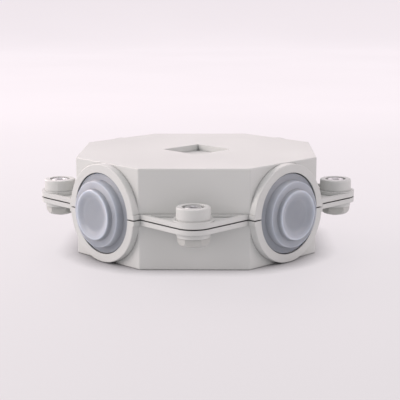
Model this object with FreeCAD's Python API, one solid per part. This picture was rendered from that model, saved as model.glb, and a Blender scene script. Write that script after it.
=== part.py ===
import FreeCAD, Part
import math
import os

# An octagonal junction box: two moulded halves that meet at mid height, four cable
# entries on the diagonal faces, and a bolted lug on each of the other four faces.
# Millimetres. The origin is the middle of the underside, +Z is up, -Y is the front.

# Body
box_across_flats = 120.0
lug_face_width = 52.6
box_height = 49.0
wall_thickness = 3.0
plate_thickness = 3.0
corner_radius = 1.2
edge_radius = 0.5
parting_gap = 0.6

# Thicker rim along the parting, and the ribs inside the lug faces
rim_thickness = 4.8
rim_depth = 5.0
rib_thickness = 1.6
rib_depth = 2.4
rib_spacing = 26.0

# Square recess in the top
recess_side = 25.0
recess_depth = 3.3
recess_floor = 2.4
recess_wall = 2.2

# Cable entries
ring_radius = 24.2
ring_projection = 3.75
ring_edge_radius = 0.5
bore_radius = 20.0
collar_depth = 6.2
seat_radius = 22.3
seat_start = 1.9
seat_width = 2.8
pad_height = 2.6
pad_projection = 0.45
pad_root = 2.0

# Grommets, with radii outwards from the cable and heights above the diagonal face
grommet_clearance = 0.3
bead_clearance = 0.1
flange_height = 3.3
step_radius = 16.5
step_height = 7.1
step_edge_radius = 0.6
disc_radius = 12.5
disc_height = 9.4
disc_edge_radius = 0.4
disc_rim = 1.7
dish_step = 0.5
dish_depth = 0.6
grommet_wall = 1.8

# Gasket strips in the lower rim
groove_width = 1.6
groove_depth = 1.8
strip_clearance = 0.1
strip_end_margin = 0.6

# Lugs
bolt_reach = 72.3
lug_tip_radius = 9.7
lug_thickness = 2.35
lug_rim = 1.7
pocket_depth = 1.2
pocket_corner_radius = 0.7
collar_rise = 0.6
upper_boss_radius = 8.2
upper_boss_height = 8.75
upper_boss_draft = 0.2
upper_boss_edge = 0.7
lower_boss_radius = 7.9
lower_boss_height = 4.7

# Lug bolts, washers and nuts
bolt_diameter = 5.0
bolt_length = 14.0
bolt_end_chamfer = 0.5
bolt_hole_clearance = 0.5
head_diameter = 8.5
head_height = 5.0
head_edge = 0.5
socket_across_flats = 4.0
socket_depth = 2.5
washer_diameter = 10.0
washer_thickness = 1.0
washer_hole_clearance = 0.3
counterbore_radius = 5.3
counterbore_floor = 2.5
nut_across_flats = 13.2
nut_height = 4.4
nut_edge_radius = 3.2
nut_turn = 30.0
thread_clearance = 0.1

# Terminal block
pole_count = 4
pole_pitch = 14.0
barrel_width = 8.6
barrel_length = 22.0
barrel_height = 10.5
barrel_edge_radius = 2.4
turret_radius = 3.7
turret_height = 5.0
turret_offset = 6.0
turret_bore_radius = 2.2
web_thickness = 4.0
web_width = 13.0
clamp_radius = 3.3
clamp_length = 18.0
clamp_bore_radius = 2.0
clamp_clearance = 0.1
wire_hole_radius = 2.4
clamp_screw_diameter = 3.0
clamp_screw_length = 7.0
clamp_screw_lift = 1.2
slot_width = 0.6
slot_depth = 1.0

# Posts and screws that hold the terminal block
post_radius = 3.4
post_height = 5.0
post_hole_depth = 6.0
block_screw_diameter = 2.5
block_screw_length = 9.0
block_screw_head_diameter = 5.0
block_screw_head_height = 1.8
block_hole_clearance = 0.4

# Worked out from the sizes above
half_flats = box_across_flats / 2
half_lug_face = lug_face_width / 2
parting_height = box_height / 2
half_gap = parting_gap / 2
port_reach = (half_flats + half_lug_face) / math.sqrt(2)
corner_slope = math.tan(math.radians(22.5))
overshoot = 1.0
same_place = 1e-6
sides = ["front", "right", "back", "left"]
corners = ["front_right", "back_right", "back_left", "front_left"]

vector = FreeCAD.Vector
up = vector(0, 0, 1)
axis_origin = vector(0, 0, 0)


def turned(shape, degrees):
    """A copy turned about the box's upright axis."""
    copy = shape.copy()
    copy.rotate(axis_origin, up, degrees)
    return copy


def shifted(shape, x, y, z):
    copy = shape.copy()
    copy.translate(vector(x, y, z))
    return copy


def block(x_size, y_size, z_bottom, z_top):
    """An upright block centred on the Z axis."""
    corner = vector(-x_size / 2, -y_size / 2, z_bottom)
    return Part.makeBox(x_size, y_size, z_top - z_bottom, corner)


def rod(radius, z_bottom, z_top):
    return Part.makeCylinder(radius, z_top - z_bottom, vector(0, 0, z_bottom))


def polygon_face(points):
    wire = Part.makePolygon(points + points[:1])
    return Part.Face(wire)


def hexagon_prism(across_flats, z_bottom, z_top):
    corner_reach = across_flats / math.sqrt(3)
    points = []
    for index in range(6):
        angle = math.radians(60 * index)
        points.append(vector(corner_reach * math.cos(angle), corner_reach * math.sin(angle), z_bottom))
    return polygon_face(points).extrude(vector(0, 0, z_top - z_bottom))


def octagon_prism(inset, z_bottom, z_top):
    """The body's plan, moved in from its faces, between two heights."""
    reach = half_flats - inset
    half_face = half_lug_face - inset * corner_slope
    points = []
    for quarter in range(4):
        for x, y in ((-half_face, -reach), (half_face, -reach)):
            angle = math.radians(90 * quarter)
            turned_x = x * math.cos(angle) - y * math.sin(angle)
            turned_y = x * math.sin(angle) + y * math.cos(angle)
            points.append(vector(turned_x, turned_y, z_bottom))
    return polygon_face(points).extrude(vector(0, 0, z_top - z_bottom))


def upright_edges(shape):
    found = []
    for edge in shape.Edges:
        first = edge.firstVertex().Point
        last = edge.lastVertex().Point
        sideways = math.hypot(first.x - last.x, first.y - last.y)
        if sideways < same_place and abs(first.z - last.z) > same_place:
            found.append(edge)
    return found


def level_edges(shape, height):
    """The edges that lie wholly at one height."""
    found = []
    for edge in shape.Edges:
        box = edge.BoundBox
        if abs(box.ZMin - height) < same_place and abs(box.ZMax - height) < same_place:
            found.append(edge)
    return found


def circles_at(shape, radius, height):
    found = []
    for edge in level_edges(shape, height):
        if isinstance(edge.Curve, Part.Circle) and abs(edge.Curve.Radius - radius) < same_place:
            found.append(edge)
    return found


def profile_point(point):
    return vector(point[0], 0, point[1])


def turned_profile(points):
    """A solid of revolution about Z from (radius, height) points. A point's third entry, where
    it has one, is a point that the arc to the next one passes through."""
    edges = []
    for index, start in enumerate(points):
        end = points[(index + 1) % len(points)]
        if len(start) == 3:
            curve = Part.Arc(profile_point(start), profile_point(start[2]), profile_point(end))
        else:
            curve = Part.LineSegment(profile_point(start), profile_point(end))
        edges.append(curve.toShape())
    return Part.Face(Part.Wire(edges)).revolve(axis_origin, up, 360)


def at_port(shape, corner_index):
    """Moves a piece drawn with +Z out of the face and +Y up to one of the cable entries."""
    angle = math.radians(-45 + 90 * corner_index)
    outward = vector(math.cos(angle), math.sin(angle), 0)
    turn = FreeCAD.Rotation(up.cross(outward), up, outward, "ZYX")
    place = FreeCAD.Placement(outward * port_reach + vector(0, 0, parting_height), turn)
    copy = shape.copy()
    copy.Placement = place.multiply(copy.Placement)
    return copy


def at_lug(shape, side_index):
    """Moves a piece drawn about the front bolt's axis, from the parting up, to one of the lugs."""
    return turned(shifted(shape, 0, -bolt_reach, parting_height), 90 * side_index)


# Cable entries

def port_ring():
    ring = rod(ring_radius, -collar_depth, ring_projection)
    ring = ring.makeFillet(ring_edge_radius, circles_at(ring, ring_radius, ring_projection))
    for sign in (-1, 1):
        width = pad_root + pad_projection
        middle = ring_radius - pad_root + width / 2
        pad = block(width, 2 * pad_height, -pad_root, ring_projection)
        ring = ring.fuse(shifted(pad, sign * middle, 0, 0))
    return ring


def port_collar():
    """The part of the ring that stands inside the walls."""
    return rod(ring_radius, -collar_depth, 0)


def port_bore():
    bore = rod(bore_radius, -collar_depth - overshoot, ring_projection + overshoot)
    seat = rod(seat_radius, -seat_start - seat_width, -seat_start)
    return bore.fuse(seat)


# Body, first as one hollow moulding

def inner_ribs():
    height_range = (plate_thickness - overshoot, box_height - plate_thickness + overshoot)
    depth = rib_depth + overshoot
    rib = block(rib_thickness, depth, *height_range)
    middle = half_flats - wall_thickness - rib_depth + depth / 2
    ribs = []
    for quarter in range(4):
        for sign in (-1, 1):
            ribs.append(turned(shifted(rib, sign * rib_spacing / 2, -middle, 0), 90 * quarter))
    return ribs


def hollow_space():
    space = octagon_prism(wall_thickness, plate_thickness, box_height - plate_thickness)
    rim_bottom = parting_height - rim_depth
    rim_top = parting_height + rim_depth
    rim = octagon_prism(0, rim_bottom, rim_top).cut(octagon_prism(rim_thickness, rim_bottom, rim_top))
    solid_parts = [rim] + inner_ribs()
    for corner_index in range(4):
        solid_parts.append(at_port(port_collar(), corner_index))
    return space.cut(solid_parts)


def whole_body():
    body = octagon_prism(0, 0, box_height)
    body = body.makeFillet(corner_radius, upright_edges(body))
    body = body.makeFillet(edge_radius, level_edges(body, box_height) + level_edges(body, 0))
    rings = []
    bores = []
    for corner_index in range(4):
        rings.append(at_port(port_ring(), corner_index))
        bores.append(at_port(port_bore(), corner_index))
    return body.fuse(rings).cut([hollow_space()] + bores)


def half_of(body, z_bottom, z_top):
    size = 4 * half_flats
    return body.common(block(size, size, z_bottom, z_top))


# Lugs, drawn about the bolt's axis with the wall towards +Y

def lug_outline():
    """Straight sides from the ends of the wall, tangent to a round tip about the bolt."""
    wall_y = bolt_reach - half_flats
    root_y = wall_y + wall_thickness / 2
    half_root = half_lug_face - corner_radius * corner_slope
    reach = math.hypot(half_root, wall_y)
    corner_angle = math.atan2(wall_y, half_root)
    tangent_angle = corner_angle - math.acos(lug_tip_radius / reach)
    tangent_x = lug_tip_radius * math.cos(tangent_angle)
    tangent_y = lug_tip_radius * math.sin(tangent_angle)
    tangent_point = vector(tangent_x, tangent_y, 0)
    right_side = [vector(half_root, root_y, 0), vector(half_root, wall_y, 0), tangent_point]
    left_side = [vector(-point.x, point.y, 0) for point in reversed(right_side)]
    edges = Part.makePolygon(right_side).Edges
    edges.append(Part.Arc(tangent_point, vector(0, -lug_tip_radius, 0), left_side[0]).toShape())
    edges += Part.makePolygon(left_side + right_side[:1]).Edges
    return Part.Face(Part.Wire(edges))


def lug_pockets(bottom, top):
    """The two hollows beside the boss, inside a rim along the lug's edge and the wall."""
    inside = lug_outline().makeOffset2D(-lug_rim)
    hollow = shifted(inside, 0, 0, bottom).extrude(vector(0, 0, top - bottom))
    size = 2 * bolt_reach
    wall_y = bolt_reach - half_flats
    clear_of_wall = shifted(block(size, size, bottom, top), 0, wall_y - lug_rim - size / 2, 0)
    clear_of_boss = rod(lug_tip_radius, bottom - overshoot, top + overshoot)
    pockets = hollow.common(clear_of_wall).cut(clear_of_boss)
    return pockets.makeFillet(pocket_corner_radius, upright_edges(pockets))


def lug_plate(bottom, top):
    return shifted(lug_outline(), 0, 0, bottom).extrude(vector(0, 0, top - bottom))


def bolt_hole():
    radius = (bolt_diameter + bolt_hole_clearance) / 2
    return rod(radius, -half_gap - lower_boss_height - overshoot, half_gap + upper_boss_height + overshoot)


def upper_lug():
    plate_top = half_gap + lug_thickness
    boss_top = half_gap + upper_boss_height
    boss_top_radius = upper_boss_radius - upper_boss_draft
    boss = Part.makeCone(upper_boss_radius, boss_top_radius, upper_boss_height, vector(0, 0, half_gap))
    boss = boss.makeFillet(upper_boss_edge, circles_at(boss, boss_top_radius, boss_top))
    collar = rod(lug_tip_radius, half_gap, plate_top + collar_rise)
    pockets = lug_pockets(plate_top - pocket_depth, plate_top + overshoot)
    return lug_plate(half_gap, plate_top).cut(pockets).fuse([collar, boss])


def upper_lug_cuts():
    boss_top = half_gap + upper_boss_height
    return bolt_hole().fuse(rod(counterbore_radius, washer_bottom(), boss_top + overshoot))


def lower_lug():
    plate_bottom = -half_gap - lug_thickness
    boss = rod(lower_boss_radius, -half_gap - lower_boss_height, -half_gap)
    pockets = lug_pockets(plate_bottom - overshoot, plate_bottom + pocket_depth)
    return lug_plate(plate_bottom, -half_gap).cut(pockets).fuse(boss)


# The two halves

def recess_block():
    bottom = box_height - recess_depth - recess_floor
    side = recess_side + 2 * recess_wall
    return turned(block(side, side, bottom, box_height - plate_thickness + overshoot), 45)


def recess_hollow():
    return turned(block(recess_side, recess_side, box_height - recess_depth, box_height + overshoot), 45)


def upper_shell():
    shell = half_of(whole_body(), parting_height + half_gap, box_height)
    lugs = [at_lug(upper_lug(), index) for index in range(4)]
    cuts = [at_lug(upper_lug_cuts(), index) for index in range(4)]
    return shell.fuse(lugs + [recess_block()]).cut(cuts + [recess_hollow()])


def groove_centre():
    """The distance of each strip's middle line from the box's axis."""
    return half_flats - rim_thickness / 2


def groove_length():
    """Up to a margin short of the seats of the two grommets beside the face."""
    inner_side = groove_centre() - groove_width / 2
    return 2 * (inner_side - math.sqrt(2) * (seat_radius + strip_end_margin))


def strip_groove():
    top = parting_height - half_gap
    groove = block(groove_length(), groove_width, top - groove_depth, top + overshoot)
    return shifted(groove, 0, -groove_centre(), 0)


def post_positions():
    """One post under the outermost gap between poles at each end of the terminal block."""
    reach = (pole_count - 2) * pole_pitch / 2
    return [-reach, reach]


def block_post(x):
    post = rod(post_radius, plate_thickness - overshoot, plate_thickness + post_height)
    return shifted(post, x, 0, 0)


def post_hole(x):
    top = plate_thickness + post_height
    radius = (block_screw_diameter + thread_clearance) / 2
    return shifted(rod(radius, top - post_hole_depth, top + overshoot), x, 0, 0)


def lower_shell():
    shell = half_of(whole_body(), 0, parting_height - half_gap)
    lugs = [at_lug(lower_lug(), index) for index in range(4)]
    posts = [block_post(x) for x in post_positions()]
    cuts = [at_lug(bolt_hole(), index) for index in range(4)]
    cuts += [turned(strip_groove(), 90 * index) for index in range(4)]
    cuts += [post_hole(x) for x in post_positions()]
    return shell.fuse(lugs + posts).cut(cuts)


# Seals

def gasket_strip():
    bottom = parting_height - half_gap - groove_depth
    top = parting_height + half_gap
    width = groove_width - 2 * strip_clearance
    return shifted(block(groove_length() - 2 * strip_clearance, width, bottom, top), 0, -groove_centre(), 0)


def cable_grommet():
    """A stepped cap with a bead that sits in the port's seat, closed by a thin dished disc."""
    sleeve = bore_radius - grommet_clearance
    bead = seat_radius - bead_clearance
    bead_front = -seat_start - bead_clearance
    bead_back = -seat_start - seat_width + bead_clearance
    inside = sleeve - grommet_wall
    step_inside = step_radius - grommet_wall
    disc_inside = disc_radius - grommet_wall
    dish_edge = disc_height - dish_step
    dish_middle = dish_edge - dish_depth
    dish_radius = disc_radius - disc_rim
    dish_sphere = (dish_radius ** 2 + dish_depth ** 2) / (2 * dish_depth)
    half_way = dish_middle + dish_sphere - math.sqrt(dish_sphere ** 2 - (dish_radius / 2) ** 2)
    outer = [
        (sleeve, -collar_depth), (sleeve, bead_back), (bead, bead_back), (bead, bead_front),
        (sleeve, bead_front), (sleeve, flange_height), (step_radius, flange_height),
        (step_radius, step_height), (disc_radius, step_height), (disc_radius, disc_height),
        (dish_radius, disc_height),
        (dish_radius, dish_edge, (dish_radius / 2, half_way)),
        (0, dish_middle),
    ]
    inner = [
        (0, dish_middle - grommet_wall), (disc_inside, dish_middle - grommet_wall),
        (disc_inside, step_height - grommet_wall), (step_inside, step_height - grommet_wall),
        (step_inside, flange_height - grommet_wall), (inside, flange_height - grommet_wall),
        (inside, -collar_depth),
    ]
    cap = turned_profile(outer + inner)
    cap = cap.makeFillet(step_edge_radius, circles_at(cap, step_radius, step_height))
    return cap.makeFillet(disc_edge_radius, circles_at(cap, disc_radius, disc_height))


# Fasteners of the lugs, drawn about the bolt's axis from the parting up

def washer_bottom():
    return half_gap + counterbore_floor


def bolt_washer():
    bottom = washer_bottom()
    top = bottom + washer_thickness
    hole = rod((bolt_diameter + washer_hole_clearance) / 2, bottom - overshoot, top + overshoot)
    return rod(washer_diameter / 2, bottom, top).cut(hole)


def lug_bolt():
    """A cap screw with a hexagon socket."""
    seat = washer_bottom() + washer_thickness
    top = seat + head_height
    head = rod(head_diameter / 2, seat, top)
    head = head.makeFillet(head_edge, circles_at(head, head_diameter / 2, top))
    end = seat - bolt_length
    shank = rod(bolt_diameter / 2, end, seat)
    shank = shank.makeChamfer(bolt_end_chamfer, circles_at(shank, bolt_diameter / 2, end))
    socket = hexagon_prism(socket_across_flats, top - socket_depth, top + overshoot)
    return head.fuse(shank).cut(socket)


def domed_nut():
    """A hexagon whose corners and underside are rounded off to a shallow bowl."""
    top = -half_gap - lower_boss_height
    bottom = top - nut_height
    corner_reach = nut_across_flats / math.sqrt(3)
    bowl = rod(corner_reach, bottom, top)
    bowl = bowl.makeFillet(nut_edge_radius, circles_at(bowl, corner_reach, bottom))
    hole = rod((bolt_diameter + thread_clearance) / 2, bottom - overshoot, top + overshoot)
    return hexagon_prism(nut_across_flats, bottom, top).common(bowl).cut(hole)


# Terminal block, drawn about its middle from its underside up

def pole_positions():
    middle = (pole_count - 1) / 2
    return [(index - middle) * pole_pitch for index in range(pole_count)]


def lying_rod(radius, length, height):
    """A rod along Y, centred, with its axis at one height."""
    return Part.makeCylinder(radius, length, vector(0, -length / 2, height), vector(0, 1, 0))


def clamp_height():
    return barrel_height / 2


def turret_positions():
    return [-turret_offset, turret_offset]


def block_barrel():
    barrel = block(barrel_width, barrel_length, 0, barrel_height)
    top_edges = []
    for edge in level_edges(barrel, barrel_height):
        if edge.BoundBox.YLength > barrel_length / 2:
            top_edges.append(edge)
    barrel = barrel.makeFillet(barrel_edge_radius, top_edges)
    turrets = []
    for y in turret_positions():
        turrets.append(shifted(rod(turret_radius, clamp_height(), barrel_height + turret_height), 0, y, 0))
    return barrel.fuse(turrets)


def barrel_hollow():
    chamber = lying_rod(clamp_radius + clamp_clearance, clamp_length + 2 * clamp_clearance, clamp_height())
    wire_hole = lying_rod(wire_hole_radius, barrel_length + overshoot, clamp_height())
    shafts = []
    for y in turret_positions():
        shaft = rod(turret_bore_radius, clamp_height(), barrel_height + turret_height + overshoot)
        shafts.append(shifted(shaft, 0, y, 0))
    return chamber.fuse([wire_hole] + shafts)


def terminal_block():
    poles = pole_positions()
    web = block(poles[-1] - poles[0], web_width, 0, web_thickness)
    barrels = [shifted(block_barrel(), x, 0, 0) for x in poles]
    hollows = [shifted(barrel_hollow(), x, 0, 0) for x in poles]
    hole = rod((block_screw_diameter + block_hole_clearance) / 2, -overshoot, web_thickness + overshoot)
    holes = [shifted(hole, x, 0, 0) for x in post_positions()]
    return web.fuse(barrels).cut(hollows + holes)


def terminal_clamp():
    """A brass tube for two wires, with a screw hole over each."""
    tube = lying_rod(clamp_radius, clamp_length, clamp_height())
    bore = lying_rod(clamp_bore_radius, clamp_length + overshoot, clamp_height())
    hole = rod((clamp_screw_diameter + thread_clearance) / 2, clamp_height(), barrel_height)
    holes = [shifted(hole, 0, y, 0) for y in turret_positions()]
    return tube.cut([bore] + holes)


def clamp_screw():
    bottom = clamp_height() + clamp_screw_lift
    top = bottom + clamp_screw_length
    screw = rod(clamp_screw_diameter / 2, bottom, top)
    return screw.cut(block(clamp_screw_diameter + overshoot, slot_width, top - slot_depth, top + overshoot))


def clamp_screws():
    screws = []
    for x in pole_positions():
        for y in turret_positions():
            screws.append(shifted(clamp_screw(), x, y, 0))
    return Part.makeCompound(screws)


def block_screw():
    """A round-headed screw with a cross slot, from the web down into the post."""
    top = web_thickness + block_screw_head_height
    head = rod(block_screw_head_diameter / 2, web_thickness, top)
    rim = circles_at(head, block_screw_head_diameter / 2, top)
    head = head.makeFillet(block_screw_head_height / 2, rim)
    shank = rod(block_screw_diameter / 2, web_thickness - block_screw_length, web_thickness)
    slot = block(block_screw_head_diameter / 2, slot_width, top - slot_depth, top + overshoot)
    return head.fuse(shank).cut(slot.fuse(turned(slot, 90)))


def on_posts(shape):
    return shifted(shape, 0, 0, plate_thickness + post_height)


def save(node, shape):
    shape.exportStep(os.path.join("parts", node + ".step"))


def main():
    os.makedirs("parts", exist_ok=True)
    save("upper_shell", upper_shell())
    save("lower_shell", lower_shell())
    for index, side in enumerate(sides):
        save("gasket_strip_" + side, turned(gasket_strip(), 90 * index))
        save("lug_bolt_" + side, at_lug(lug_bolt(), index))
        save("bolt_washer_" + side, at_lug(bolt_washer(), index))
        save("domed_nut_" + side, at_lug(turned(domed_nut(), nut_turn * index), index))
    for index, corner in enumerate(corners):
        save("cable_grommet_" + corner, at_port(cable_grommet(), index))
    save("terminal_block", on_posts(terminal_block()))
    save("clamp_screws", on_posts(clamp_screws()))
    for index, x in enumerate(pole_positions()):
        save("terminal_clamp_" + str(index + 1), on_posts(shifted(terminal_clamp(), x, 0, 0)))
    for name, x in zip(("left", "right"), post_positions()):
        save("block_screw_" + name, on_posts(shifted(block_screw(), x, 0, 0)))


main()
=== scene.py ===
import math

import bmesh
import bpy
from mathutils import Matrix, Vector


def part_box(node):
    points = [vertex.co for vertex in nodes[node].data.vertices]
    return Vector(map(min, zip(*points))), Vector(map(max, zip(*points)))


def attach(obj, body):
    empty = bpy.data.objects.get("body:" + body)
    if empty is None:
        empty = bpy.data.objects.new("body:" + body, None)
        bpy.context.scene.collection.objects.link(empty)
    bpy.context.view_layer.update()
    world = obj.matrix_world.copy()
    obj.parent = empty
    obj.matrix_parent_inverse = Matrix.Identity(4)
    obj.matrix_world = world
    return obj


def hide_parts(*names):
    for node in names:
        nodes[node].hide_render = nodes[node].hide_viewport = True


sideNames = ["front", "right", "back", "left"]
cornerNames = ["front_right", "back_right", "back_left", "front_left"]

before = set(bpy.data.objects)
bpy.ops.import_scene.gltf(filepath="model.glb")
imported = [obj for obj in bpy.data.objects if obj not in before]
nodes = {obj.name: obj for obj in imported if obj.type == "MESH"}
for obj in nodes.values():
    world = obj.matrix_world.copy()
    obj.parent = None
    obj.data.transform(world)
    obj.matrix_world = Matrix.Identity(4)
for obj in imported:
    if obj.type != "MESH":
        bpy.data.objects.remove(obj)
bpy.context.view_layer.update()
print("frame loaded:", len(nodes), "nodes")


# Camera, at the photograph's place and angle

camera = {
    "place": (0.01441, -0.55009, 0.13303),
    "yaw": -1.361,  # degrees, to the right of +Y
    "down": 11.410,
    "roll": -0.242,
    "focal": 95.88,  # mm, and so is the sensor's width
    "sensor": 36.0,
    "nearest": 0.01,
}


def placeCamera():
    yaw = math.radians(camera["yaw"])
    down = math.radians(camera["down"])
    forward = Vector((math.sin(yaw) * math.cos(down), math.cos(yaw) * math.cos(down), -math.sin(down)))
    level = Vector((math.cos(yaw), -math.sin(yaw), 0))
    turn = Matrix.Rotation(math.radians(camera["roll"]), 3, -forward)
    right = turn @ level
    up = right.cross(forward)
    axes = Matrix((right, up, -forward)).transposed().to_4x4()
    lens = bpy.data.cameras.new("photoCamera")
    lens.lens = camera["focal"]
    lens.sensor_width = camera["sensor"]
    lens.clip_start = camera["nearest"]
    holder = bpy.data.objects.new("photoCamera", lens)
    holder.matrix_world = Matrix.Translation(camera["place"]) @ axes
    bpy.context.scene.collection.objects.link(holder)
    bpy.context.scene.camera = holder


placeCamera()
print("camera placed")


# Nodes and links that the materials share

crevice = {"samples": 3, "closed": 0.22, "open": 0.5}  # shares of free sky, for the full painted shade and for none
softCorner = {"samples": 4}
noiseSpan = (0.3, 0.7)  # where nearly all of a noise's values lie


def newMaterial(name):
    material = bpy.data.materials.new(name)
    material.use_nodes = True
    tree = material.node_tree
    return material, tree, tree.nodes["Principled BSDF"]


def addNode(tree, kind, **inputs):
    node = tree.nodes.new(kind)
    for key, value in inputs.items():
        node.inputs[key].default_value = value
    return node


def objectPlace(tree):
    return tree.nodes.new("ShaderNodeTexCoord").outputs["Object"]


def objectNoise(tree, scale, detail, roughness=0.5):
    noise = addNode(tree, "ShaderNodeTexNoise", Scale=scale, Detail=detail, Roughness=roughness)
    tree.links.new(objectPlace(tree), noise.inputs["Vector"])
    return noise.outputs["Fac"]


def ranged(tree, source, low, high, span=noiseSpan):
    node = tree.nodes.new("ShaderNodeMapRange")
    node.inputs["From Min"].default_value = span[0]
    node.inputs["From Max"].default_value = span[1]
    node.inputs["To Min"].default_value = low
    node.inputs["To Max"].default_value = high
    tree.links.new(source, node.inputs["Value"])
    return node.outputs["Result"]


def tinted(tree, source, dark, light):
    mix = tree.nodes.new("ShaderNodeMix")
    mix.data_type = "RGBA"
    mix.inputs["A"].default_value = (*dark, 1)
    mix.inputs["B"].default_value = (*light, 1)
    tree.links.new(source, mix.inputs["Factor"])
    return mix.outputs["Result"]


def mottled(tree, noise, look):
    return tinted(tree, ranged(tree, noise, 0, 1), look["dark"], look["light"])


def vectorMath(tree, operation, vector, other=None):
    node = tree.nodes.new("ShaderNodeVectorMath")
    node.operation = operation
    tree.links.new(vector, node.inputs[0])
    if other:
        node.inputs[1].default_value = other
    return node


def scaled(tree, colour, factor):
    node = vectorMath(tree, "SCALE", colour)
    tree.links.new(factor, node.inputs["Scale"])
    return node.outputs["Vector"]


def openness(tree, reach):
    near = addNode(tree, "ShaderNodeAmbientOcclusion", Distance=reach)
    near.samples = crevice["samples"]
    return near.outputs["AO"]


# Painted shade: the colour is darkened where ambient occlusion finds creases, gaps and corners, standing in
# for the shade that falls there
def creviced(tree, colour, look):
    span = (crevice["closed"], crevice["open"])
    shade = ranged(tree, openness(tree, look["paintedCreviceShadeReach"]), look["creviceShade"], 1, span)
    return scaled(tree, colour, shade)


def bumped(tree, shader, height, depth, edge=None):
    bump = addNode(tree, "ShaderNodeBump", Strength=1.0, Distance=depth)
    tree.links.new(height, bump.inputs["Height"])
    if edge:
        soft = addNode(tree, "ShaderNodeBevel", Radius=edge)
        soft.samples = softCorner["samples"]
        tree.links.new(soft.outputs["Normal"], bump.inputs["Normal"])
    tree.links.new(bump.outputs["Normal"], shader.inputs["Normal"])


# Moulded shells, nuts and terminal block, with painted shade darkening their creases and gaps

shellLook = {
    "dark": (0.545, 0.560, 0.545),
    "light": (0.600, 0.615, 0.600),
    "patchScale": 18.0,
    "patchDetail": 3.0,
    "grainScale": 2600.0,
    "grainDetail": 2.0,
    "grainDepth": 0.00003,  # m
    "rough": (0.42, 0.52),
    "softEdge": 0.0003,  # m
    "paintedCreviceShadeReach": 0.0016,  # m, how far the painted crevice shade reaches
    "creviceShade": 0.02,
}
# the nuts' colour is the shell's plastic made darker, as painted shade standing in for the shade under the
# lugs
nutLookWithPaintedShade = {
    **shellLook,
    "dark": (0.44, 0.45, 0.43),
    "light": (0.49, 0.50, 0.48),
}
blockLook = {
    **shellLook,
    "dark": (0.72, 0.70, 0.62),
    "light": (0.78, 0.76, 0.68),
}


def mouldedPlastic(name, look):
    material, tree, shader = newMaterial(name)
    patches = objectNoise(tree, look["patchScale"], look["patchDetail"])
    grain = objectNoise(tree, look["grainScale"], look["grainDetail"])
    # random patches of tone, darkened by painted crevice shade
    tree.links.new(creviced(tree, mottled(tree, patches, look), look), shader.inputs["Base Color"])
    tree.links.new(ranged(tree, patches, *look["rough"]), shader.inputs["Roughness"])
    bumped(tree, shader, grain, look["grainDepth"], look["softEdge"])
    return material


# Translucent silicone of the grommets, with painted highlights on the rims of its steps and painted shade on
# their side walls

port = {
    "height": 0.0245,  # m, of each cable entry's axis
    "faceReach": 0.06102,  # m, from the box's middle to an entry's face
    "firstAngle": -45,  # degrees from +X, then every 90
}

siliconeLook = {
    "dark": (0.53, 0.575, 0.64),
    "light": (0.60, 0.645, 0.71),
    "patchScale": 60.0,
    "patchDetail": 3.0,
    "grainScale": 1500.0,
    "grainDetail": 2.0,
    "grainDepth": 0.00001,  # m
    "rough": (0.30, 0.38),
    "refraction": 1.41,
    "subsurface": 1.0,
    "scatter": (0.8, 0.9, 1.0),  # red, green and blue shares of the depth
    "depth": 0.0014,  # m
    "softEdge": 0.0001,  # m
    "ringReach": 0.020,  # m
    # radius from the cable's axis in m, then how light the silicone is there: painted highlights on the
    # disc's lip, the dish's slope and the step's rim, painted shade on the side walls of the disc and the
    # step
    "rings": [
        (0.0, 0.55), (0.0060, 0.57), (0.0095, 0.68), (0.0108, 0.76), (0.0116, 0.92), (0.0120, 0.86),
        (0.0123, 0.50), (0.0130, 0.60), (0.0153, 0.66), (0.0160, 0.78), (0.0164, 0.54), (0.0197, 0.55),
    ],
}


def portRadius(tree):
    folded = vectorMath(tree, "ABSOLUTE", objectPlace(tree))  # all four entries onto the one at +X, +Y
    turned = addNode(tree, "ShaderNodeVectorRotate", Angle=math.radians(45))  # and its axis onto +Y
    turned.rotation_type = "Z_AXIS"
    tree.links.new(folded.outputs["Vector"], turned.inputs["Vector"])
    centred = vectorMath(tree, "SUBTRACT", turned.outputs["Vector"], (0, 0, port["height"]))
    flat = vectorMath(tree, "MULTIPLY", centred.outputs["Vector"], (1, 0, 1))
    return vectorMath(tree, "LENGTH", flat.outputs["Vector"]).outputs["Value"]


def ringShade(tree, look):
    ramp = tree.nodes.new("ShaderNodeValToRGB")
    ramp.color_ramp.interpolation = "EASE"
    stops = ramp.color_ramp.elements
    for radius, lightness in look["rings"][1:-1]:
        stops.new(radius / look["ringReach"]).color = (lightness, lightness, lightness, 1)
    for index in (0, -1):
        radius, lightness = look["rings"][index]
        stops[index].position = radius / look["ringReach"]
        stops[index].color = (lightness, lightness, lightness, 1)
    reach = ranged(tree, portRadius(tree), 0, 1, (0, look["ringReach"]))
    tree.links.new(reach, ramp.inputs["Fac"])
    return ramp.outputs["Color"]


def translucentSilicone(name, look):
    material, tree, shader = newMaterial(name)
    patches = objectNoise(tree, look["patchScale"], look["patchDetail"])
    grain = objectNoise(tree, look["grainScale"], look["grainDetail"])
    # painted highlights and painted shade, by radius from each entry's axis, scale the silicone's colour
    colour = scaled(tree, mottled(tree, patches, look), ringShade(tree, look))
    tree.links.new(colour, shader.inputs["Base Color"])
    tree.links.new(ranged(tree, patches, *look["rough"]), shader.inputs["Roughness"])
    shader.inputs["IOR"].default_value = look["refraction"]
    shader.inputs["Subsurface Weight"].default_value = look["subsurface"]
    shader.inputs["Subsurface Radius"].default_value = look["scatter"]
    shader.inputs["Subsurface Scale"].default_value = look["depth"]
    bumped(tree, shader, grain, look["grainDepth"], look["softEdge"])
    return material


# Metals of the bolts, washers, clamps and screws

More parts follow.
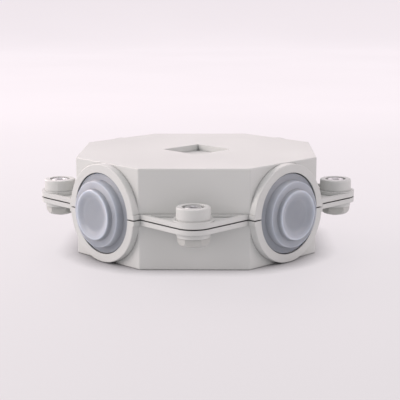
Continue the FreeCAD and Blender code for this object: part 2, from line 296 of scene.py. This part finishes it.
metalLooks = {
    "stainlessSteel": {"dark": (0.66, 0.66, 0.67), "light": (0.84, 0.84, 0.85), "rough": (0.30, 0.42)},
    "clampBrass": {"dark": (0.55, 0.38, 0.14), "light": (0.74, 0.55, 0.25), "rough": (0.28, 0.42)},
    "zincPlate": {"dark": (0.50, 0.51, 0.53), "light": (0.66, 0.67, 0.68), "rough": (0.30, 0.45)},
}
toolMarks = {
    "scale": 900.0,
    "detail": 4.0,
    "roughness": 0.6,
    "depth": 0.000004,  # m
}


def turnedMetal(name):
    look = metalLooks[name]
    material, tree, shader = newMaterial(name)
    marks = objectNoise(tree, toolMarks["scale"], toolMarks["detail"], toolMarks["roughness"])
    tree.links.new(mottled(tree, marks, look), shader.inputs["Base Color"])
    tree.links.new(ranged(tree, marks, *look["rough"]), shader.inputs["Roughness"])
    shader.inputs["Metallic"].default_value = 1.0
    bumped(tree, shader, marks, toolMarks["depth"])
    return material


# Foam rubber of the sealing strips

rubberLook = {
    "dark": (0.012, 0.012, 0.013),
    "light": (0.025, 0.025, 0.027),
    "poreScale": 2200.0,
    "poreDetail": 3.0,
    "poreRoughness": 0.7,
    "poreDepth": 0.00004,  # m
    "rough": 0.85,
}


def foamRubber(name, look):
    material, tree, shader = newMaterial(name)
    pores = objectNoise(tree, look["poreScale"], look["poreDetail"], look["poreRoughness"])
    tree.links.new(mottled(tree, pores, look), shader.inputs["Base Color"])
    shader.inputs["Roughness"].default_value = look["rough"]
    bumped(tree, shader, pores, look["poreDepth"])
    return material


shellPlastic = mouldedPlastic("shellPlastic", shellLook)
shadedNutPlastic = mouldedPlastic("shadedNutPlastic", nutLookWithPaintedShade)
blockPlastic = mouldedPlastic("blockPlastic", blockLook)
silicone = translucentSilicone("silicone", siliconeLook)
steel = turnedMetal("stainlessSteel")
brass = turnedMetal("clampBrass")
zinc = turnedMetal("zincPlate")
rubber = foamRubber("foamRubber", rubberLook)


def dress(node, material):
    for slot in nodes[node].material_slots:
        slot.material = material


dress("upper_shell", shellPlastic)
dress("lower_shell", shellPlastic)
dress("terminal_block", blockPlastic)
dress("clamp_screws", zinc)
for end in ("left", "right"):
    dress("block_screw_" + end, zinc)
for number in range(1, 5):
    dress("terminal_clamp_" + str(number), brass)
for side in sideNames:
    dress("gasket_strip_" + side, rubber)
    dress("domed_nut_" + side, shadedNutPlastic)
    dress("bolt_washer_" + side, steel)
    dress("lug_bolt_" + side, steel)
for corner in cornerNames:
    dress("cable_grommet_" + corner, silicone)
print("materials on the CAD nodes")


# Turned pieces, each built up from rings of points along Z

turning = {
    "around": 120,  # points to a ring
    "samePlace": 1e-7,  # m
}


def circleRing(radius, z):
    angles = [math.tau * step / turning["around"] for step in range(turning["around"])]
    return [Vector((radius * math.cos(angle), radius * math.sin(angle), z)) for angle in angles]


def ringMesh(name, rings, sharpFrom, capped=True):
    shape = bmesh.new()
    loops = [[shape.verts.new(point) for point in ring] for ring in rings]
    pairs = list(zip(loops, loops[1:]))
    if capped:
        shape.faces.new(reversed(loops[0]))
        shape.faces.new(loops[-1])
    else:
        pairs.append((loops[-1], loops[0]))
    for lower, upper in pairs:
        for step in range(len(lower)):
            after = (step + 1) % len(lower)
            shape.faces.new((lower[step], lower[after], upper[after], upper[step]))
    bmesh.ops.remove_doubles(shape, verts=shape.verts, dist=turning["samePlace"])
    bmesh.ops.recalc_face_normals(shape, faces=shape.faces)
    mesh = bpy.data.meshes.new(name)
    shape.to_mesh(mesh)
    shape.free()
    mesh.shade_smooth()
    mesh.set_sharp_from_angle(angle=math.radians(sharpFrom))
    return mesh


def addPiece(name, mesh, node, material):
    mesh.materials.append(material)
    piece = bpy.data.objects.new(name, mesh)
    bpy.context.scene.collection.objects.link(piece)
    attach(piece, "root")
    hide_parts(node)
    return piece


# Grommets, whose steps taper a little and whose disc has a narrow lip round a soft dish

grommetShape = {  # m, with heights from the entry's face
    "back": -0.0062,
    "sleeve": 0.0197,
    "bead": 0.0222,
    "beadBack": -0.0046,
    "beadFront": -0.0020,
    "flange": 0.0033,
    "flangeEdge": 0.0004,
    "stepRoot": 0.0165,
    "stepTop": 0.0161,
    "stepHeight": 0.0071,
    "discRoot": 0.0125,
    "discTop": 0.0121,
    "discHeight": 0.0094,
    "edge": 0.0002,
    "lip": 0.0003,
    "dishSlope": 0.0042,
    "dishDepth": 0.0014,
    "slopeSteps": 8,
    "wall": 0.0018,
    "sharpFrom": 60,  # degrees
}


def sleevePoints(form):
    sleeve, bead = form["sleeve"], form["bead"]
    inside = sleeve - form["wall"]
    return [
        (inside, form["back"]), (sleeve, form["back"]),
        (sleeve, form["beadBack"]), (bead, form["beadBack"]),
        (bead, form["beadFront"]), (sleeve, form["beadFront"]),
        (sleeve, form["flange"] - form["flangeEdge"]), (sleeve - form["flangeEdge"], form["flange"]),
    ]


def stepPoints(form, name, low):
    root, top, high = form[name + "Root"], form[name + "Top"], form[name + "Height"]
    edge = form["edge"]
    return [(root + edge, low), (root, low + edge), (top, high - edge), (top - edge, high)]


def dishPoints(form):
    rim = form["discTop"] - form["edge"] - form["lip"]
    points = []
    for step in range(form["slopeSteps"] + 1):
        along = step / form["slopeSteps"]
        drop = form["dishDepth"] * (1 - math.cos(math.pi * along)) / 2
        points.append((rim - form["dishSlope"] * along, form["discHeight"] - drop))
    return points


def insidePoints(form):
    wall = form["wall"]
    dish = form["discHeight"] - form["dishDepth"]
    disc = form["discRoot"] - wall
    step = form["stepRoot"] - wall
    return [
        (0, dish), (0, dish - wall),
        (disc, dish - wall), (disc, form["stepHeight"] - wall),
        (step, form["stepHeight"] - wall), (step, form["flange"] - wall),
        (form["sleeve"] - wall, form["flange"] - wall),
    ]


def grommetProfile(form):
    points = sleevePoints(form)
    points += stepPoints(form, "step", form["flange"])
    points += stepPoints(form, "disc", form["stepHeight"])
    return points + dishPoints(form) + insidePoints(form)


def makeGrommet(index, corner):
    rings = [circleRing(radius, z) for radius, z in grommetProfile(grommetShape)]
    turn = math.radians(port["firstAngle"] + 90 * index)
    outward = Vector((math.cos(turn), math.sin(turn), 0))
    up = Vector((0, 0, 1))
    axes = Matrix((up.cross(outward), up, outward)).transposed().to_4x4()
    place = Matrix.Translation(outward * port["faceReach"] + up * port["height"]) @ axes
    mesh = ringMesh("grommet_" + corner, rings, grommetShape["sharpFrom"], capped=False)
    mesh.transform(place)  # so that object coordinates are the box's own, as the silicone's shading needs
    addPiece("grommet_" + corner, mesh, "cable_grommet_" + corner, silicone)


for index, corner in enumerate(cornerNames):
    makeGrommet(index, corner)
print("grommets made")


# Lug bolts, with a knurled head, a hexagon socket and a thread

boltShape = {  # m
    "headRadius": 0.00425,
    "headHeight": 0.0050,
    "headEdge": 0.0004,
    "knurls": 30,
    "knurlDepth": 0.00012,
    "socketFlats": 0.0040,
    "socketDepth": 0.0025,
    "socketEdge": 0.00015,
    "shankRadius": 0.0025,
    "pitch": 0.0008,
    "threadDepth": 0.00035,
    "threadSteps": 6,  # levels to one turn of the thread
    "endChamfer": 0.0005,
    "sharpFrom": 35,  # degrees
}


def hexagonRing(flats, z):
    ring = circleRing(1, z)
    for step, point in enumerate(ring):
        angle = math.tau * step / len(ring)
        fromFlat = (angle % math.radians(60)) - math.radians(30)
        reach = flats / 2 / math.cos(fromFlat)
        point.xy = (reach * math.cos(angle), reach * math.sin(angle))
    return ring


def knurledRing(radius, z):
    ring = circleRing(radius, z)
    for step, point in enumerate(ring):
        wave = math.cos(math.tau * boltShape["knurls"] * step / len(ring))
        point.xy *= 1 - boltShape["knurlDepth"] * (1 - wave) / 2 / radius
    return ring


def threadRing(z):
    ring = circleRing(1, z)
    for step, point in enumerate(ring):
        turn = (z / boltShape["pitch"] - step / len(ring)) % 1
        point.xy *= boltShape["shankRadius"] - boltShape["threadDepth"] * abs(2 * turn - 1)
    return ring


def shankRings(form, bottom, seat):
    root = form["shankRadius"] - form["threadDepth"]
    threadStart = bottom + form["endChamfer"]
    rise = form["pitch"] / form["threadSteps"]
    levels = int((seat - threadStart) / rise)
    rings = [circleRing(root - form["threadDepth"], bottom), circleRing(root, threadStart)]
    rings += [threadRing(threadStart + rise * level) for level in range(1, levels)]
    return rings + [circleRing(form["shankRadius"], seat)]


def headRings(form, seat, top):
    radius, edge = form["headRadius"], form["headEdge"]
    return [
        circleRing(radius - edge, seat),
        knurledRing(radius, seat + edge),
        knurledRing(radius, top - edge),
        circleRing(radius - edge, top),
    ]


def socketRings(form, top):
    flats, edge = form["socketFlats"], form["socketEdge"]
    return [
        hexagonRing(flats + 2 * edge, top),
        hexagonRing(flats, top - edge),
        hexagonRing(flats, top - form["socketDepth"]),
    ]


def makeBolt(side):
    node = "lug_bolt_" + side
    low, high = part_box(node)
    seat = high[2] - boltShape["headHeight"]
    rings = shankRings(boltShape, low[2], seat)
    rings += headRings(boltShape, seat, high[2])
    rings += socketRings(boltShape, high[2])
    mesh = ringMesh("lugBolt_" + side, rings, boltShape["sharpFrom"])
    bolt = addPiece("lugBolt_" + side, mesh, node, steel)
    bolt.location = ((low[0] + high[0]) / 2, (low[1] + high[1]) / 2, 0)


for side in sideNames:
    makeBolt(side)
print("lug bolts made")


# Studio: a pale floor that sweeps up all round and glows a little, with painted light falloff and painted
# contact shadows in its glow, and five soft lights

backdropShape = {  # m
    "floorRadius": 1.7,
    "sweepRadius": 0.8,
    "sweepTop": 2.4,
    "sweepSteps": 16,
    "turns": 96,
    "samePlace": 0.0001,
}
paperLook = {
    "colour": (0.060, 0.057, 0.059),
    "mottleScale": 3.0,
    "mottleDetail": 2.0,
    "rough": (0.55, 0.65),
    "glowNear": (0.610, 0.585, 0.600),  # on the floor in front, dimmer as painted light falloff
    "glowFar": (0.800, 0.740, 0.775),  # on the floor at the back and up the sweep, brighter as painted light falloff
    "glowSpan": (-0.35, 0.60),  # m along Y, from near to far, of the painted light falloff
    "paintedContactShadowReach": 0.013,  # m, of the painted contact shadow, the dimmer glow beside what stands on the floor
}


def backdropPaper(name, look):
    material, tree, shader = newMaterial(name)
    mottle = objectNoise(tree, look["mottleScale"], look["mottleDetail"])
    tree.links.new(ranged(tree, mottle, *look["rough"]), shader.inputs["Roughness"])
    shader.inputs["Base Color"].default_value = (*look["colour"], 1)
    split = addNode(tree, "ShaderNodeSeparateXYZ")
    tree.links.new(objectPlace(tree), split.inputs["Vector"])
    # painted light falloff: the glow is dimmer on the floor in front and brighter at the back and up the
    # sweep
    paintedFalloff = ranged(tree, split.outputs["Y"], 0, 1, look["glowSpan"])
    glow = tinted(tree, paintedFalloff, look["glowNear"], look["glowFar"])
    tree.links.new(glow, shader.inputs["Emission Color"])
    # painted contact shadow: ambient occlusion dims the glow beside what stands on the floor
    tree.links.new(openness(tree, look["paintedContactShadowReach"]), shader.inputs["Emission Strength"])
    return material


def backdropProfile(form):
    points = [(0, 0)]
    for step in range(form["sweepSteps"] + 1):
        angle = math.pi / 2 * step / form["sweepSteps"]
        radius = form["floorRadius"] + form["sweepRadius"] * math.sin(angle)
        points.append((radius, form["sweepRadius"] * (1 - math.cos(angle))))
    points.append((form["floorRadius"] + form["sweepRadius"], form["sweepTop"]))
    return points


def makeBackdrop(form):
    shape = bmesh.new()
    line = [shape.verts.new((radius, 0, z)) for radius, z in backdropProfile(form)]
    edges = [shape.edges.new(pair) for pair in zip(line, line[1:])]
    bmesh.ops.spin(shape, geom=line + edges, cent=(0, 0, 0), axis=(0, 0, 1), angle=math.tau,
                   steps=form["turns"])
    bmesh.ops.remove_doubles(shape, verts=shape.verts, dist=form["samePlace"])
    bmesh.ops.recalc_face_normals(shape, faces=shape.faces)
    mesh = bpy.data.meshes.new("backdrop")
    shape.to_mesh(mesh)
    shape.free()
    mesh.shade_smooth()
    mesh.materials.append(backdropPaper("backdropPaper", paperLook))
    backdrop = bpy.data.objects.new("backdrop", mesh)
    bpy.context.scene.collection.objects.link(backdrop)


lightAim = (0, 0, 0.03)
lights = [
    {"name": "overhead", "place": (0, -0.1, 0.8), "size": 0.9, "power": 3.73, "colour": (1, 0.955, 0.991)},
    {"name": "backTop", "place": (0, 1.0, 1.1), "size": 1.0, "power": 2.95, "colour": (1, 0.842, 0.862)},
    {"name": "left", "place": (-1.3, -0.35, 0.6), "size": 0.9, "power": 12.3, "colour": (1, 0.896, 0.878)},
    {"name": "right", "place": (1.3, -0.3, 0.6), "size": 0.9, "power": 4.37, "colour": (1, 0.860, 0.864)},
    {"name": "leftBack", "place": (-1.1, 0.9, 0.7), "size": 0.8, "power": 12.1, "colour": (1, 0.823, 0.823)},
]


def addLight(settings):
    lamp = bpy.data.lights.new(settings["name"], "AREA")
    lamp.shape = "SQUARE"
    lamp.size = settings["size"]
    lamp.energy = settings["power"]
    lamp.color = settings["colour"]
    holder = bpy.data.objects.new(settings["name"], lamp)
    holder.location = settings["place"]
    towards = Vector(lightAim) - Vector(settings["place"])
    holder.rotation_euler = towards.to_track_quat("-Z", "Y").to_euler()
    bpy.context.scene.collection.objects.link(holder)


def darkenWorld():
    world = bpy.data.worlds.new("studioWorld")
    world.use_nodes = True
    world.node_tree.nodes["Background"].inputs["Strength"].default_value = 0  # the sweep hides the sky
    bpy.context.scene.world = world


makeBackdrop(backdropShape)
for settings in lights:
    addLight(settings)
darkenWorld()
bpy.context.scene.view_settings.view_transform = "Standard"
print("studio ready")
